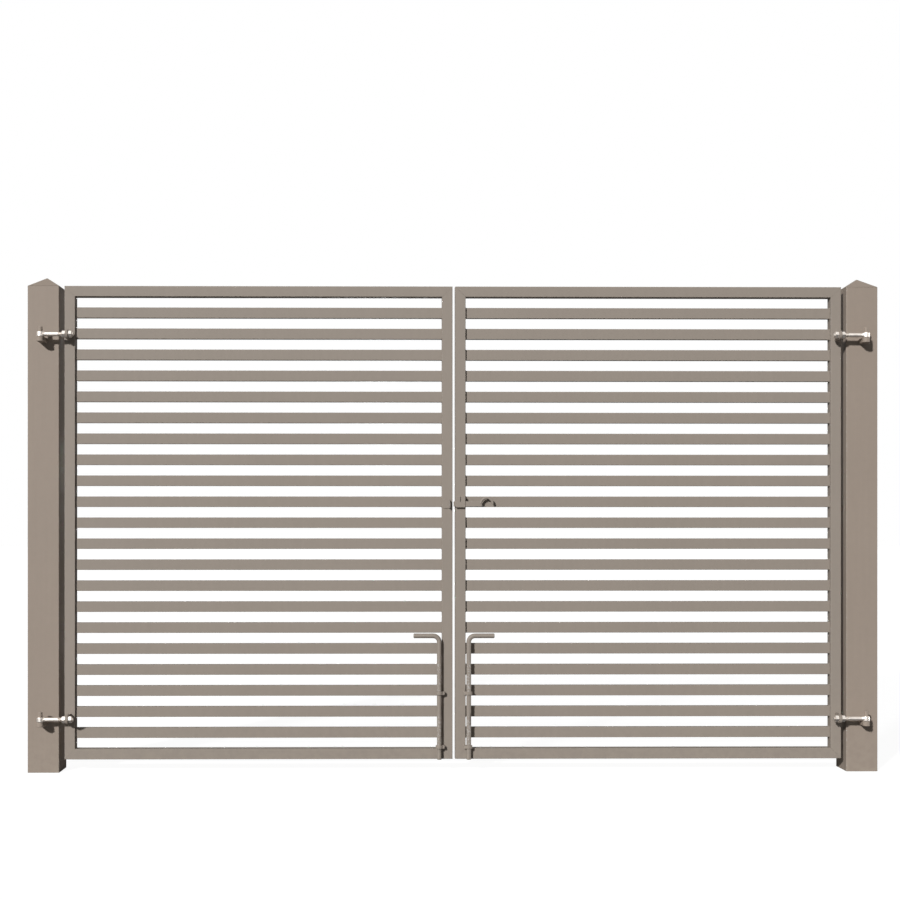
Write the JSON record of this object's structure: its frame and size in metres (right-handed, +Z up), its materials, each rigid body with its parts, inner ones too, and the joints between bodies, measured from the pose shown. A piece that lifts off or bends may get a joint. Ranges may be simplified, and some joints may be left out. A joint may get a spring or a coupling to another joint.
{
  "type": "double-leaf driveway gate",
  "caption": "Steel driveway gate: two slatted leaves hung on square posts by pin-and-eye hinges, with drop bolts and a sliding latch.",
  "frame": {"origin": "on the ground, midway between the posts, midway in depth between the front of the hinge lugs and the backs of the posts", "axes": "+X to the right along the gate, +Y away from the side with the hinges and the latch, +Z up"},
  "size_m": [3.24, 0.182, 1.89],
  "materials": {
    "post_paint": "warm grey powder coat, satin",
    "leaf_paint": "warm grey powder coat, satin",
    "bolt_paint": "warm grey paint, satin, worn where it slides",
    "zinc": "bright zinc plating"
  },
  "bodies": {
    "posts": {"left_post": "post_paint", "left_post_cap": "post_paint", "left_upper_hinge_pin": "post_paint", "left_lower_hinge_pin": "post_paint", "right_post": "post_paint", "right_post_cap": "post_paint", "right_upper_hinge_pin": "post_paint", "right_lower_hinge_pin": "post_paint"},
    "left_leaf": {"left_leaf_frame": "leaf_paint", "left_slat_01": "leaf_paint", "left_slat_02": "leaf_paint", "left_slat_03": "leaf_paint", "left_slat_04": "leaf_paint", "left_slat_05": "leaf_paint", "left_slat_06": "leaf_paint", "left_slat_07": "leaf_paint", "left_slat_08": "leaf_paint", "left_slat_09": "leaf_paint", "left_slat_10": "leaf_paint", "left_slat_11": "leaf_paint", "left_slat_12": "leaf_paint", "left_slat_13": "leaf_paint", "left_slat_14": "leaf_paint", "left_slat_15": "leaf_paint", "left_slat_16": "leaf_paint", "left_slat_17": "leaf_paint", "left_slat_18": "leaf_paint", "left_slat_19": "leaf_paint", "left_slat_20": "leaf_paint", "left_slat_21": "leaf_paint", "left_upper_hinge_eye": "zinc", "left_lower_hinge_eye": "zinc", "latch_keeper": "bolt_paint"},
    "right_leaf": {"right_leaf_frame": "leaf_paint", "right_slat_01": "leaf_paint", "right_slat_02": "leaf_paint", "right_slat_03": "leaf_paint", "right_slat_04": "leaf_paint", "right_slat_05": "leaf_paint", "right_slat_06": "leaf_paint", "right_slat_07": "leaf_paint", "right_slat_08": "leaf_paint", "right_slat_09": "leaf_paint", "right_slat_10": "leaf_paint", "right_slat_11": "leaf_paint", "right_slat_12": "leaf_paint", "right_slat_13": "leaf_paint", "right_slat_14": "leaf_paint", "right_slat_15": "leaf_paint", "right_slat_16": "leaf_paint", "right_slat_17": "leaf_paint", "right_slat_18": "leaf_paint", "right_slat_19": "leaf_paint", "right_slat_20": "leaf_paint", "right_slat_21": "leaf_paint", "right_upper_hinge_eye": "zinc", "right_lower_hinge_eye": "zinc"},
    "left_drop_bolt": {"left_drop_bolt": "bolt_paint"},
    "right_drop_bolt": {"right_drop_bolt": "bolt_paint"},
    "latch_bolt": {"latch_bolt": "bolt_paint"}
  },
  "joints": [
    {"name": "left_leaf_swing", "type": "hinge", "parent": "posts", "child": "left_leaf", "pos_m": [-1.56, -0.074, 0.934], "axis": [0, 0, -1], "range_deg": [0, 180]},
    {"name": "right_leaf_swing", "type": "hinge", "parent": "posts", "child": "right_leaf", "pos_m": [1.56, -0.074, 0.934], "axis": [0, 0, 1], "range_deg": [0, 180]},
    {"name": "left_drop_bolt_slide", "type": "slide", "parent": "left_leaf", "child": "left_drop_bolt", "axis": [0, 0, -1], "range_m": [0, 0.12]},
    {"name": "right_drop_bolt_slide", "type": "slide", "parent": "right_leaf", "child": "right_drop_bolt", "axis": [0, 0, -1], "range_m": [0, 0.12]},
    {"name": "latch_slide", "type": "slide", "parent": "right_leaf", "child": "latch_bolt", "axis": [-1, 0, 0], "range_m": [0, 0.036]}
  ]
}
